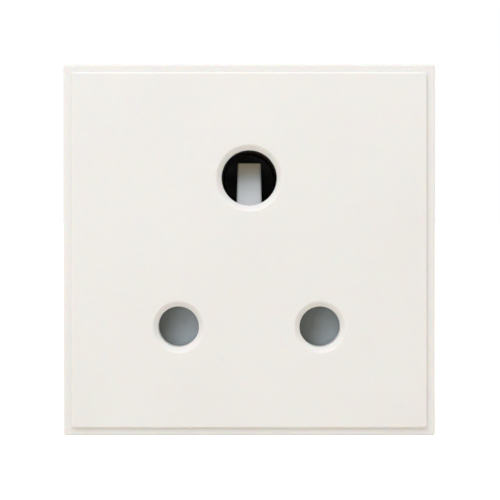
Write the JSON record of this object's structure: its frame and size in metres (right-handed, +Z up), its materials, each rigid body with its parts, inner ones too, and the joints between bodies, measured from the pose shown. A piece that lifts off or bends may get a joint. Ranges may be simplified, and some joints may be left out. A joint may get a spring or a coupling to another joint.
{
  "type": "round pin socket",
  "caption": "Square white snap-in socket module with countersunk round pin entries, a sprung safety shutter, rolled brass contacts and screw terminals in a black rear housing.",
  "frame": {"origin": "middle of the rim's rear face, the plane that seats on the mounting frame", "axes": "+Z up with the earth pin at the top; the socket's face looks along -Y, +X is to the right as seen from the front"},
  "size_m": [0.05, 0.0243, 0.05],
  "materials": {
    "white_moulding": "warm white thermoset moulding, fine satin grain",
    "black_moulding": "black moulded plastic, satin",
    "grey_acetal": "light cool grey acetal, smooth",
    "spring_steel": "drawn steel wire and strip",
    "rolled_brass": "rolled brass sheet",
    "terminal_brass": "extruded and sawn brass",
    "plated_steel": "zinc plated steel, slightly yellow"
  },
  "bodies": {
    "socket_body": {"face_moulding": "white_moulding", "rear_housing": "black_moulding", "shutter_guide": "black_moulding", "shutter_spring": "spring_steel", "line_contact": "rolled_brass", "line_contact_clip": "spring_steel", "line_terminal": "terminal_brass", "neutral_contact": "rolled_brass", "neutral_contact_clip": "spring_steel", "neutral_terminal": "terminal_brass", "earth_contact": "rolled_brass", "earth_contact_clip": "spring_steel", "earth_terminal": "terminal_brass", "housing_screw_1": "plated_steel", "housing_screw_2": "plated_steel", "housing_screw_3": "plated_steel", "housing_screw_4": "plated_steel"},
    "shutter": {"shutter": "grey_acetal"},
    "line_screw": {"line_terminal_screw": "plated_steel"},
    "neutral_screw": {"neutral_terminal_screw": "plated_steel"},
    "earth_screw": {"earth_terminal_screw": "plated_steel"}
  },
  "joints": [
    {"name": "shutter_slide", "type": "slide", "parent": "socket_body", "child": "shutter", "axis": [0, 0, -1], "range_m": [0, 0.0062], "stiffness_N_per_m": 120, "springref_m": -0.0038, "deforming": ["shutter_spring"]},
    {"name": "line_screw_travel", "type": "slide", "parent": "socket_body", "child": "line_screw", "axis": [0, -1, 0], "range_m": [0, 0.003]},
    {"name": "neutral_screw_travel", "type": "slide", "parent": "socket_body", "child": "neutral_screw", "axis": [0, -1, 0], "range_m": [0, 0.003]},
    {"name": "earth_screw_travel", "type": "slide", "parent": "socket_body", "child": "earth_screw", "axis": [0, -1, 0], "range_m": [0, 0.003]}
  ]
}
